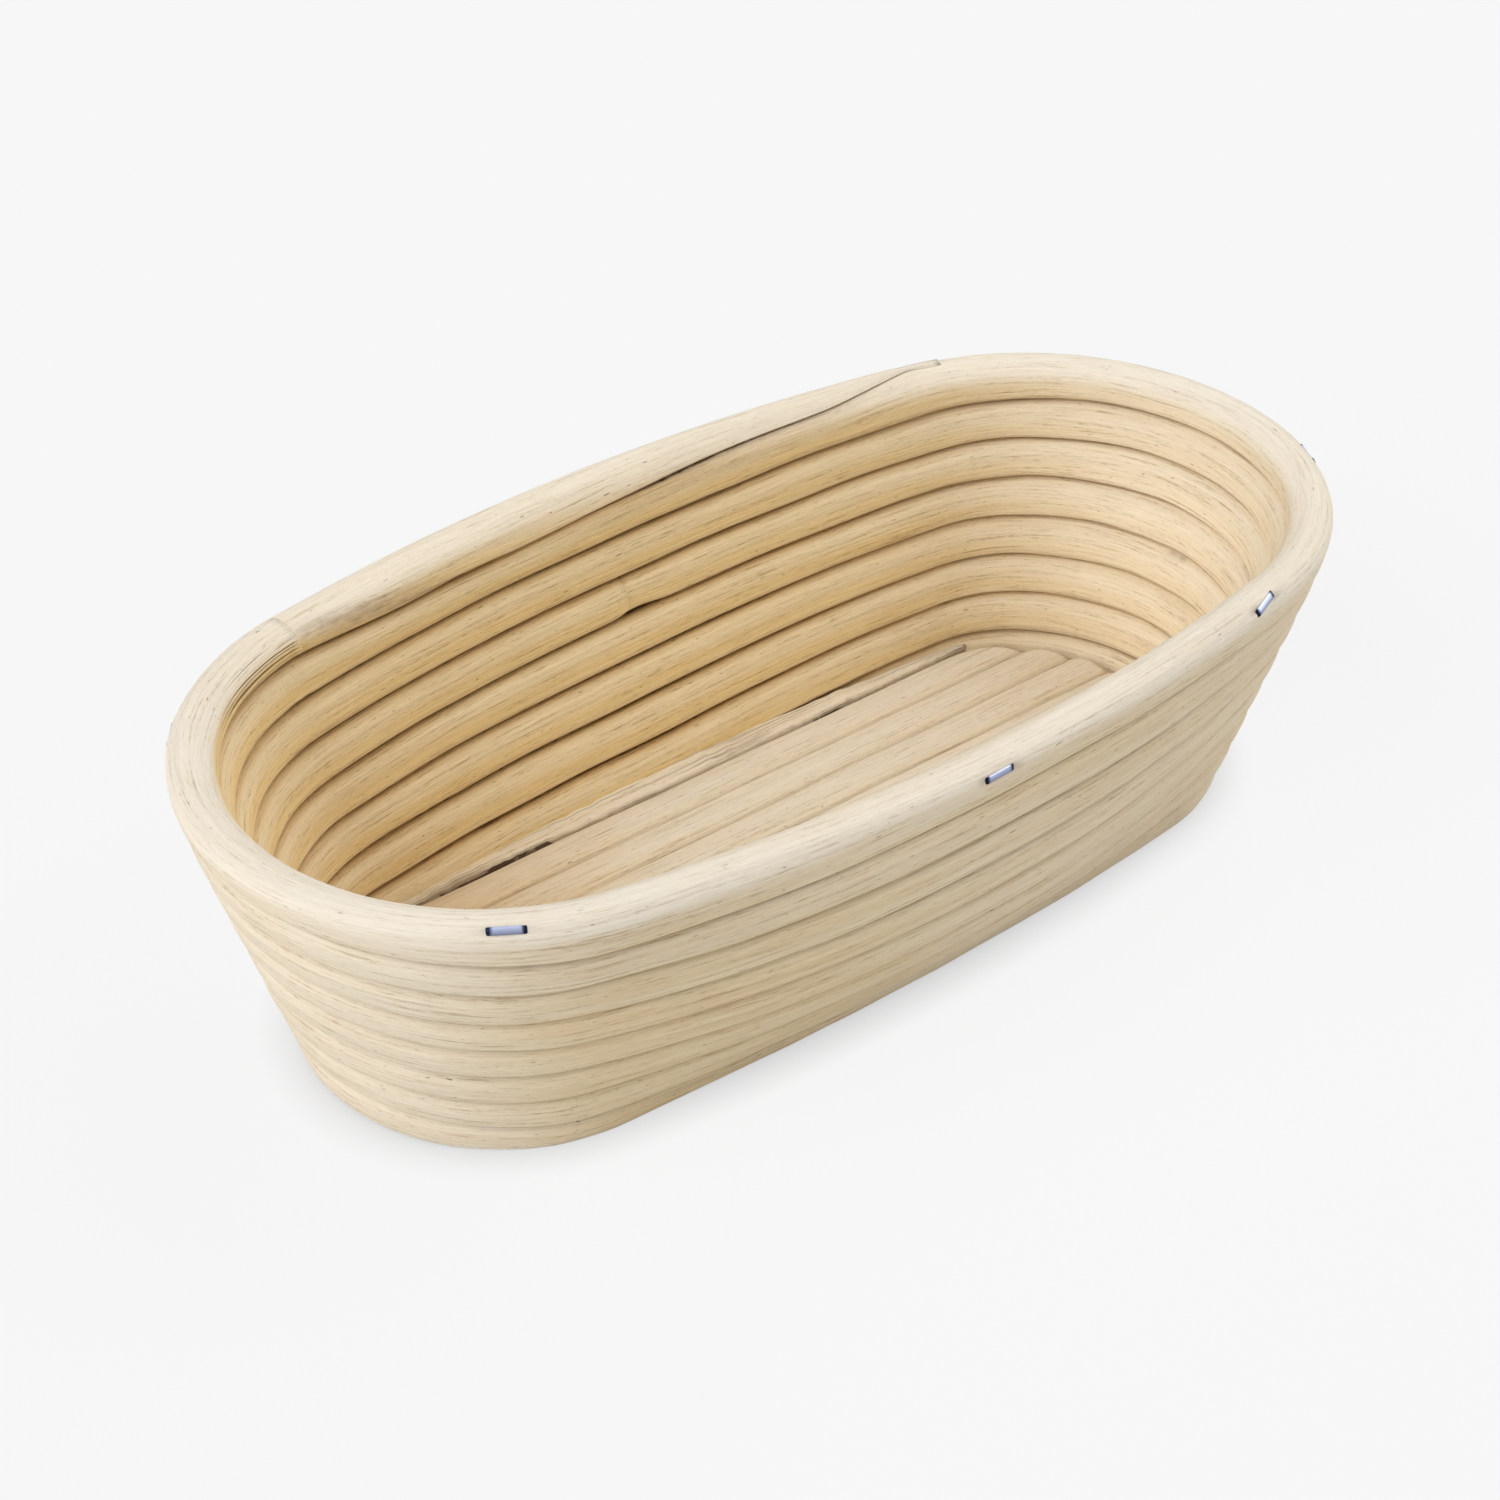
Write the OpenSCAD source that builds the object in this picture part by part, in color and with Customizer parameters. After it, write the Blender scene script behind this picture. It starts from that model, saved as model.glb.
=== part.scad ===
// Oval proofing basket, wound from rattan cane and held with wire staples.
// +X runs along the basket, +Y points to the long side where the winding climbs and ends, +Z is up.
// The origin is the middle of the foot, on the surface that the basket stands on.

/* [Rim] */
// Length over the rim
rim_length = 300; // [260:1:360]
// Width over the rim
rim_width = 156; // [140:1:180]
// How far the long sides of the rim stand out past its round ends
rim_bulge = 8.5; // [5:0.5:12]

/* [Wall] */
// Turns of cane from the foot to the rim
wall_turns = 8; // [6:1:9]
// Width over the foot
foot_width = 100; // [90:1:120]
// How far the long sides of the foot stand out past its round ends
foot_bulge = 2.5; // [1.5:0.5:5]
// Extra outward bow of the +Y side at half height
back_bow = 3; // [0:0.5:4]
// Extra outward bow of the -Y side at half height
front_bow = 8; // [0:0.5:9]
// Where in a turn the winding's step up starts, as a share of the turn from the left of the +Y side
step_from = 0.1; // [0:0.01:0.15]
// Where in a turn the step up ends
step_to = 0.3; // [0.25:0.01:0.4]
// Share of a turn's rise that is climbed in the step
step_share = 0.6; // [0:0.05:0.7]
// Turn in which the lower cane is spliced to the upper one
splice_turn = 5; // [3:1:5]

/* [Cane] */
// Width of the wall cane, through the wall
cane_width = 10.4; // [8:0.2:12]
// Height of the wall cane, along the slope of the wall
cane_height = 9.6; // [8:0.2:12]
// Gap between one turn and the next on the round ends
turn_gap = 0.6; // [0.55:0.05:0.9]
// Thickness of the shaved start of the winding
start_thickness = 2.1; // [1.5:0.1:4]
// Thickness of the closing strip at its thick end
strip_thickness = 7.8; // [7.2:0.2:9]

/* [Floor] */
// Width of one floor cane
slat_width = 10; // [8:0.5:13]
// Height of the floor canes at their crown
slat_height = 8.8; // [6:0.2:11]
// How far the crown of a floor cane stands over its shoulders
slat_crown = 2; // [1:0.25:3]
// Gap between two floor canes
slat_gap = 0.4; // [0.3:0.1:0.8]
// Gap between the floor and the wall
floor_gap = 0.3; // [0.3:0.05:0.6]
// Thickness of the split canes at the edges of the floor
edge_strip_thickness = 3.5; // [2.5:0.5:5]

/* [Staples] */
// Width of the flat staple wire
wire_width = 1.7; // [0.8:0.1:2.2]
// Thickness of the flat staple wire
wire_thickness = 0.7; // [0.4:0.1:1]
// Length of a rim staple's crown
rim_staple_crown = 9; // [6:0.5:12]
// Length of a rim staple's legs
rim_staple_leg = 11; // [8:0.5:11.5]
// Downward angle of a rim staple's legs, in degrees
rim_staple_tilt = 38; // [30:1:42]
// Height of a rim staple over the outermost line of the rim
rim_staple_rise = 2.75; // [2.5:0.25:3.5]
// Length of a hidden wall staple's crown
wall_staple_crown = 6; // [4:0.5:9]
// Length of a hidden wall staple's legs
wall_staple_leg = 13; // [11:0.5:13]
// Rings of the winding from one hidden wall staple to the next, with 24 rings in a turn
wall_staple_rings = 5; // [3:1:8]
// Length of a floor staple's crown
floor_staple_crown = 7; // [5:0.5:10]
// Length of a floor staple's legs
floor_staple_leg = 6; // [4:0.5:7]

/* [Hidden] */
// Rings of the winding along one long side and round one end
SIDE_RINGS = 4;
END_RINGS = 8;
TURN_RINGS = 2 * (SIDE_RINGS + END_RINGS);

// Section of the cane, in shares of its width and height, from the outer ridge over the top
SECTION = [[0.5, 0], [0.25, 0.5], [-0.25, 0.5], [-0.5, 0], [-0.25, -0.5], [0.25, -0.5]];
CORNERS = len(SECTION);

// Rings of the top turn, counted from the left of the +Y side, that carry a rim staple
RIM_STAPLE_RINGS = [6, 9, 12, 14, 17, 22, 25];

// Points on each quarter of the floor's outline
OUTLINE_STEPS = 12;

CANE_COLOR = "burlywood";
RIM_COLOR = "bisque";
FLOOR_COLOR = "wheat";
WIRE_COLOR = "lightsteelblue";

rim_end_radius = rim_width / 2 - rim_bulge;
foot_end_radius = foot_width / 2 - foot_bulge;
end_centre = rim_length / 2 - rim_end_radius;

// Height of the cane's middle where the winding starts, mostly planed away there
start_z = start_thickness - cane_height / 2;

// Height, at a given lean, at which the length and width over the rim are measured
function rim_height(lean) =
    start_z + (cane_height + turn_gap) * cos(lean) * wall_turns - cane_height + strip_thickness;

// Outward lean of the round ends, which takes the turns from the foot's size to the rim's
function settled_lean(lean, steps) =
    steps == 0 ? lean : settled_lean(atan((rim_end_radius - foot_end_radius) / rim_height(lean)), steps - 1);
LEAN_STEPS = 12;
wall_lean = settled_lean(0, LEAN_STEPS);
rim_z = rim_height(wall_lean);
rim_top = rim_z + cane_height / 2;

// Rise of the winding in one turn
turn_rise = (cane_height + turn_gap) * cos(wall_lean);

splice_ring = TURN_RINGS * splice_turn + SIDE_RINGS / 2;
first_staple_ring = TURN_RINGS + 2 * SIDE_RINGS;
rim_start_ring = TURN_RINGS * (wall_turns - 1);
strip_start_ring = TURN_RINGS * wall_turns;
strip_end_ring = strip_start_ring + SIDE_RINGS;

// How far the straight stretches between rings cut into the inside of the round ends
foot_chord = end_radius(0) * (1 - cos(90 / END_RINGS));
floor_inset = cane_width + foot_chord + floor_gap;

slat_pitch = slat_width + slat_gap;
slat_count = floor((foot_width - 2 * floor_inset) / slat_pitch);
slat_crown_radius = (pow(slat_width / 2, 2) + pow(slat_crown, 2)) / (2 * slat_crown);
edge_strip_z = slat_height - edge_strip_thickness;
edge_strip_y = slat_count * slat_pitch / 2 + slat_gap / 2;

SLATS = [for (k = [1:slat_count]) str("floor_slat_", k)];

function mix(p, q, t) = p + (q - p) * t;
function clamp(v, low, high) = max(low, min(high, v));

// Plan of the wall: an oval of two end arcs and two side arcs, which grows with height
function height_share(z) = clamp(z / rim_z, 0, 1);
function end_radius(z) = rim_end_radius - (rim_z - z) * tan(wall_lean);
function bulge(z, bow) = mix(foot_bulge, rim_bulge, height_share(z)) + bow * sin(180 * height_share(z));
function side_radius(z, bow) =
    let (r = end_radius(z), g = bulge(z, bow))
    (end_centre * end_centre + 2 * r * g + g * g) / (2 * g);
function side_angle(z, bow) = atan2(end_centre, side_radius(z, bow) - end_radius(z) - bulge(z, bow));

// Quarters of a turn: 0 is the +Y side, 1 the +X end, 2 the -Y side and 3 the -X end.
// A heading is the way that the wall faces, clockwise from +Y.
function heading(q, share, z) =
    let (
        back = side_angle(z, back_bow),
        front = side_angle(z, front_bow),
        ends = [-back, back, 180 - front, 180 + front, 360 - back]
    )
    mix(ends[q], ends[q + 1], share);
function outward(angle) = [sin(angle), cos(angle)];
function wall_point(q, share, z, inset) =
    let (
        bow = q == 0 ? back_bow : front_bow,
        sign = q < 2 ? 1 : -1,
        side = q % 2 == 0,
        middle = end_radius(z) + bulge(z, bow) - side_radius(z, bow),
        centre = side ? [0, sign * middle] : [sign * end_centre, 0],
        reach = (side ? side_radius(z, bow) : end_radius(z)) - inset
    )
    centre + reach * outward(heading(q, share, z));
function wall_slope(q, share, z) =
    let (step = cane_height / 2, n = outward(heading(q, share, z)))
    atan((wall_point(q, share, z + step, 0) - wall_point(q, share, z - step, 0)) * n / (2 * step));

// Rings of the winding, counted from its start
function ring_in_turn(i) = i % TURN_RINGS;
function quarter(i) =
    let (j = ring_in_turn(i), half = SIDE_RINGS + END_RINGS)
    2 * floor(j / half) + (j % half < SIDE_RINGS ? 0 : 1);
function quarter_share(i) =
    let (j = ring_in_turn(i) % (SIDE_RINGS + END_RINGS))
    j < SIDE_RINGS ? j / SIDE_RINGS : (j - SIDE_RINGS) / END_RINGS;
function turn_share(i) = (quarter(i) + quarter_share(i)) / 4;

// Share of the rise that is climbed by a share s of the turn: even, with one smooth step
function smooth(t) = t * t * (3 - 2 * t);
function climb(s) = mix(s, smooth(clamp((s - step_from) / (step_to - step_from), 0, 1)), step_share);
function ring_z(i) = start_z + turn_rise * (floor(i / TURN_RINGS) + climb(turn_share(i)));

// Corners of ring i. They are planed flat at the foot and at the rim's top,
// pressed flatter where the wall stands steeper than the round ends,
// and the outer half is planed flush with the rim where the winding ends above it.
function ring(i) =
    let (
        q = quarter(i),
        share = quarter_share(i),
        z = ring_z(i),
        n = outward(heading(q, share, z)),
        middle = wall_point(q, share, z, cane_width / 2),
        lean = wall_slope(q, share, z),
        flatten = min(1, cos(wall_lean) / cos(lean)),
        room = (wall_point(q, share, rim_z, 0) - middle) * n,
        squeeze = min(1, room / (cane_width / 2 * cos(lean)))
    )
    [for (corner = SECTION)
        let (
            across = corner.x * cane_width,
            along = corner.y * cane_height * flatten,
            out = across * cos(lean) + along * sin(lean),
            up = along * cos(lean) - across * sin(lean),
            place = middle + n * (out > 0 ? out * squeeze : out)
        )
        [place.x, place.y, clamp(z + up, 0, rim_top)]
    ];

// Least gap between the turns of one cane, measured on the corners of its rings
function ring_gap(a, b) = min([for (p = a, q = b) norm(p - q)]);
function least_gap(first, last) =
    min([for (i = [first:last - TURN_RINGS - 1], side = [-1:1])
        if (i + TURN_RINGS + side <= last) ring_gap(ring(i), ring(i + TURN_RINGS + side))]);

// One unbroken tube from ring to ring
function wall_faces(rings) =
    [for (k = [0:rings - 2], c = [0:CORNERS - 1])
        let (
            a = k * CORNERS + c,
            b = k * CORNERS + (c + 1) % CORNERS
        )
        each [[a, b, b + CORNERS], [a, b + CORNERS, a + CORNERS]]
    ];
function fan(offset, hub) =
    [for (c = [1:CORNERS - 2])
        [offset + hub, offset + (hub + c) % CORNERS, offset + (hub + c + 1) % CORNERS]
    ];
function flipped(faces) = [for (f = faces) [f[0], f[2], f[1]]];
module wound_cane(first, last) {
    rings = last - first + 1;
    polyhedron(
        points = [for (i = [first:last]) each ring(i)],
        faces = concat(wall_faces(rings), flipped(fan(0, 2)), fan((rings - 1) * CORNERS, 5))
    );
}

module wall_cane_lower() {
    color(CANE_COLOR) wound_cane(0, splice_ring);
    echo(wall_cane_lower_least_gap = least_gap(0, splice_ring));
}

module wall_cane_upper() {
    color(RIM_COLOR) wound_cane(splice_ring, strip_start_ring);
    echo(wall_cane_upper_least_gap = least_gap(splice_ring, strip_start_ring));
}

module closing_strip() {
    color(RIM_COLOR) wound_cane(strip_start_ring, strip_end_ring);
}

// Outline of the floor, clear of the wall at height z
function floor_outline(z) =
    [for (q = [0:3], k = [0:OUTLINE_STEPS - 1]) wall_point(q, k / OUTLINE_STEPS, z, floor_inset)];
function slat_y(k) = (k - (slat_count + 1) / 2) * slat_pitch;

// Flat underneath and crowned on top
module slat_section() {
    intersection() {
        translate([-slat_width / 2, 0]) square([slat_width, slat_height]);
        translate([0, slat_height - slat_crown_radius]) circle(slat_crown_radius, $fn = 96);
    }
}

// Floor cane with the slots that its two staples are driven into
module floor_slat(k) {
    color(FLOOR_COLOR)
    difference() {
        intersection() {
            linear_extrude(slat_height) polygon(floor_outline(0));
            translate([0, slat_y(k), 0])
                rotate([90, 0, 90])
                linear_extrude(rim_length, center = true) slat_section();
        }
        floor_staple(k, -1);
        floor_staple(k, 1);
    }
}

// Split cane wedged between the outer floor cane and the wall, on the +Y or -Y side
module floor_edge_strip(side) {
    color(FLOOR_COLOR)
    intersection() {
        translate([0, 0, edge_strip_z]) linear_extrude(edge_strip_thickness) polygon(floor_outline(edge_strip_z));
        translate([-end_centre, side > 0 ? edge_strip_y : -edge_strip_y - rim_width, 0])
            cube([2 * end_centre, rim_width, rim_top]);
    }
}

// Wire staple with its crown along X, flush with y = 0, and its legs along -Y
module staple(crown, leg) {
    translate([-crown / 2, -wire_thickness, -wire_width / 2]) cube([crown, wire_thickness, wire_width]);
    for (x = [-crown / 2, crown / 2 - wire_thickness])
        translate([x, -leg, -wire_width / 2]) cube([wire_thickness, leg, wire_width]);
}

// Turns its children to face outwards at ring i
module facing(i) {
    rotate([0, 0, -heading(quarter(i), quarter_share(i), ring_z(i))]) children();
}

// Crown on the upper outer face of the rim, legs down into the turn below
module rim_staples() {
    color(WIRE_COLOR)
    for (j = RIM_STAPLE_RINGS) {
        i = rim_start_ring + j;
        ridge = ring(i)[0];
        face = ring(i)[1] - ridge;
        place = ridge + face * min(rim_staple_rise / norm(face), 0.5);
        translate(place)
            facing(i)
            rotate([rim_staple_tilt, 0, 0])
            translate([0, wire_thickness / 2, 0])
            staple(rim_staple_crown, rim_staple_leg);
    }
}

// Crown on top of a turn, under the next one, legs down into the turn below
module wall_staples() {
    color(WIRE_COLOR)
    for (i = [first_staple_ring:wall_staple_rings:rim_start_ring - 1]) {
        slope = wall_slope(quarter(i), quarter_share(i), ring_z(i));
        top = (ring(i)[1] + ring(i)[2]) / 2;
        translate(top) facing(i) rotate([90 - slope, 0, 0]) staple(wall_staple_crown, wall_staple_leg);
    }
}

// Crown across the joint of floor cane k and the wall, flush with the foot, legs up
module floor_staple(k, end) {
    reach = sqrt(max(0, pow(end_radius(0) - floor_inset, 2) - pow(slat_y(k), 2)));
    translate([end * (end_centre + reach), slat_y(k), 0])
        rotate([-90, 0, 0]) staple(floor_staple_crown, floor_staple_leg);
}

module floor_staples() {
    color(WIRE_COLOR)
    for (k = [1:slat_count], end = [-1, 1]) floor_staple(k, end);
}

wall_cane_lower();
wall_cane_upper();
closing_strip();
for (k = [1:slat_count])
    floor_slat(k);
floor_edge_strip(1);  // floor_edge_strip_back
floor_edge_strip(-1);  // floor_edge_strip_front
rim_staples();
wall_staples();
floor_staples();
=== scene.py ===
"""Oval proofing basket: round rattan cane wound into a leaning wall, over a floor of straight canes."""

import math

import bmesh
import bpy
import numpy as np
from bpy.props import FloatProperty, FloatVectorProperty, IntProperty, PointerProperty
from mathutils import Matrix, Vector


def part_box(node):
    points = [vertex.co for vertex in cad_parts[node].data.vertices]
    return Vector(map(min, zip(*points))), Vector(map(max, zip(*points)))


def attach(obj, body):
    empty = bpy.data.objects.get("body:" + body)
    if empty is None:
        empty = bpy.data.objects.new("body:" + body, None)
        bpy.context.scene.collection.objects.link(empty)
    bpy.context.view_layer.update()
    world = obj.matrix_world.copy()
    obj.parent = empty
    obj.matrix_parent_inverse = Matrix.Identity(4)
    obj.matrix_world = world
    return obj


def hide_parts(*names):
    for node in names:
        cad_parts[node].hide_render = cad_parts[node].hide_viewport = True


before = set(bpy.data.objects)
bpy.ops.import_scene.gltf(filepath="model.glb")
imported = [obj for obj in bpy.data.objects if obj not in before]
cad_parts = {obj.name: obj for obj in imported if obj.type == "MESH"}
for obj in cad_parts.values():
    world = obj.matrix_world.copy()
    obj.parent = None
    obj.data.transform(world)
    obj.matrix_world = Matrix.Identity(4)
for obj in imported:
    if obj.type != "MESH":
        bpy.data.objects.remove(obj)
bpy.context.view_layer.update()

bl_info = {
    "name": "Oval Proofing Basket",
    "version": (1, 0, 0),
    "blender": (4, 5, 0),
    "location": "View3D > Sidebar > Basket",
    "description": "Dresses the wound rattan proofing basket and sets its studio",
    "category": "Object",
}

RIM_TOP = max(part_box(name)[1][2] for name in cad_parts)
MM = 0.001
TURN = 2 * math.pi


def linear(hex_colour):
    """Linear colour of an sRGB hex value."""
    parts = [int(hex_colour[i:i + 2], 16) / 255 for i in (1, 3, 5)]
    return tuple(c / 12.92 if c <= 0.04045 else ((c + 0.055) / 1.055) ** 2.4 for c in parts)


def length(name, description, default):
    """A length property, in metres."""
    return FloatProperty(
        name=name, description=description, default=default, min=0, precision=4, unit="LENGTH"
    )


def colour(name, description, hex_colour):
    """A colour property."""
    return FloatVectorProperty(
        name=name, description=description, default=linear(hex_colour), min=0, max=1, size=3, subtype="COLOR"
    )


class BasketSizes(bpy.types.PropertyGroup):
    """Sizes of the basket's canes and of the oval that they are wound on."""

    rim_length: length("Rim length", "Length over the rim", 0.300)
    rim_width: length("Rim width", "Width over the rim", 0.156)
    rim_bulge: length("Rim bulge", "How far the rim's long sides stand out past its round ends", 0.0085)
    rim_top: length("Rim top", "Height of the rim's top", float(RIM_TOP))
    foot_width: length("Foot width", "Width over the foot", 0.100)
    foot_bulge: length("Foot bulge", "How far the foot's long sides stand out past its round ends", 0.0025)
    back_bow: length("Back bow", "Outward bow of the far side at half height", 0.003)
    front_bow: length("Front bow", "Outward bow of the near side at half height", 0.008)
    cane_width: length("Cane width", "Width of the wall cane, through the wall", 0.0104)
    cane_height: length("Cane height", "Height of the wall cane, along the wall", 0.0096)
    turn_gap: length("Turn gap", "Room that one turn leaves for the next in the winding's rise", 0.0006)
    groove_gap: length("Groove gap", "Open gap between two turns", 0.00008)
    start_thickness: length("Start thickness", "Thickness of the winding's shaved start", 0.0021)
    slat_width: length("Floor cane width", "Width of one floor cane", 0.010)
    slat_height: length("Floor cane height", "Height of the floor canes at their crown", 0.0088)
    slat_crown: length("Floor cane crown", "Height of the crown over its shoulders", 0.0032)
    slat_gap: length("Floor cane gap", "Gap between two floor canes", 0.0004)
    floor_gap: length("Floor gap", "Gap between the floor and the wall", 0.0007)
    strip_thickness: length("Edge strip thickness", "Thickness of the split edge canes", 0.0035)
    staple_crown: length("Staple crown", "Length of a rim staple's crown", 0.009)
    floor_crown: length("Floor staple crown", "Length of a floor staple's crown", 0.007)
    staple_width: length("Staple width", "Width of the flat staple wire", 0.0017)
    staple_thickness: length("Staple thickness", "Thickness of the flat staple wire", 0.0007)
    wall_turns: IntProperty(
        name="Wall turns", description="Turns of cane from foot to rim", default=8, min=4, max=12
    )


class BasketColours(bpy.types.PropertyGroup):
    """Colours of the basket's materials."""

    # painted light: the pale that the wall's ends and rim facing the lamps are painted with
    cane_lit_pale: colour("Cane, pale", "Paler places of the wall", "#F2E9DA")
    cane_straw: colour("Cane, straw", "Middle colour of the cane", "#E9DABF")
    cane_honey: colour("Cane, honey", "Slow stains of the cane", "#DBC095")
    inside_gold: colour("Inside of the wall", "Golden inside of the wall", "#F5D9A1")
    groove_brown: colour("Groove", "Dust and shade in the grooves", "#46290F")
    # painted shade: this brown tint on the inside shoulders beside the grooves stands for their shade
    groove_shade_tint: colour("Groove glaze", "Brown tint of the shoulders beside the grooves inside", "#DBBE82")
    # painted shade: the golden tint of each turn's lower part and each floor cane's lower side stands for
    # their warm shade
    lower_gold_shade: colour("Lower gold", "Tint of the lower part of each turn", "#FFF7DC")
    scuffed_grey: colour("Scuffed cane", "Greyish brown where the rim's end was planed", "#B3A088")
    pore_brown: colour("Pore", "Open pores and chipped fibres", "#6E4C2C")
    sanded_cream: colour("Sanded cane", "Sanded top of the rim", "#F8F0E3")
    steel: colour("Staple steel", "Galvanised staple wire", "#B2BAD8")
    # also the painted shadow along the staple wire's lower edge
    steel_dark: colour("Staple steel, dark", "Wire where it dives into the cane", "#1C2036")
    floor_white: colour("Backdrop", "White that the camera sees behind the basket", "#F8F8F8")
    floor_paper: colour("Studio paper", "Matt paper under the basket", "#EDEDED")


def sizes():
    return bpy.context.scene.basket_sizes


def colours():
    return bpy.context.scene.basket_colours


def smooth(low, high, value):
    """Smooth step from 0 at low to 1 at high."""
    t = np.clip((value - low) / (high - low), 0, 1)
    return t * t * (3 - 2 * t)


def hump(value, start, full, wane, end):
    """Smooth rise from 0 at start to 1 at full, and fall from 1 at wane to 0 at end."""
    return smooth(start, full, value) * (1 - smooth(wane, end, value))


def bell(value, centre, width):
    """Bell curve that is 1 at the centre."""
    return np.exp(-(((value - centre) / width) ** 2))


def mix(a, b, t):
    return a + (b - a) * t


def ripple(t, seed, waves, size):
    """Smooth irregular wave of about the given size. The waves are pairs of cycles per unit."""
    dice = np.random.RandomState(seed)
    total = np.zeros_like(t, dtype=float)
    for low, high in waves:
        for _ in range(3):
            total += np.sin(TURN * (dice.uniform(low, high) * t + dice.uniform()))
    return total * size / math.sqrt(1.5 * len(waves))


class Oval:
    """Plan of the wall in millimetres: end arcs and side arcs that grow with height."""

    def __init__(self):
        s = sizes()
        self.rim_radius = (s.rim_width / 2 - s.rim_bulge) / MM
        self.foot_radius = (s.foot_width / 2 - s.foot_bulge) / MM
        self.end = s.rim_length / 2 / MM - self.rim_radius
        self.rim_z = (s.rim_top - s.cane_height / 2) / MM
        self.rim_bulge, self.foot_bulge = s.rim_bulge / MM, s.foot_bulge / MM
        self.back_bow, self.front_bow = s.back_bow / MM, s.front_bow / MM

    def end_radius(self, z):
        return mix(self.foot_radius, self.rim_radius, z / self.rim_z)

    def side(self, z, bow):
        """Radius of a long side's arc, half of the angle that it spans, and the place of its centre."""
        t = np.clip(z / self.rim_z, 0, 1)
        g = mix(self.foot_bulge, self.rim_bulge, t) + bow * np.sin(math.pi * t)
        r = self.end_radius(z)
        radius = (self.end ** 2 + 2 * r * g + g * g) / (2 * g)
        return radius, np.arctan2(self.end, radius - r - g), r + g - radius

    def point(self, share, z, inset):
        """Place and outward direction at a share of the turn, counted from the left of the far side."""
        quarter = np.minimum(np.floor(share * 4), 3).astype(int)
        along = share * 4 - quarter
        r = self.end_radius(z)
        back_radius, back_angle, back_centre = self.side(z, self.back_bow)
        front_radius, front_angle, front_centre = self.side(z, self.front_bow)
        heading = np.choose(quarter, [
            mix(-back_angle, back_angle, along),
            mix(back_angle, math.pi - front_angle, along),
            mix(math.pi - front_angle, math.pi + front_angle, along),
            mix(math.pi + front_angle, TURN - back_angle, along),
        ])
        x = np.choose(quarter, [0, self.end, 0, -self.end])
        y = np.choose(quarter, [back_centre, 0, -front_centre, 0])
        reach = np.choose(quarter, [back_radius, r, front_radius, r]) - inset
        out = np.stack([np.sin(heading), np.cos(heading)], -1)
        return np.stack([x, y], -1) + out * reach[..., None], out

    def slope(self, share, z):
        """Outward lean of the wall, in radians."""
        step = 4.0
        upper, _ = self.point(share, z + step, 0)
        lower, _ = self.point(share, z - step, 0)
        _, out = self.point(share, z, 0)
        return np.arctan(((upper - lower) * out).sum(-1) / (2 * step))


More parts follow.
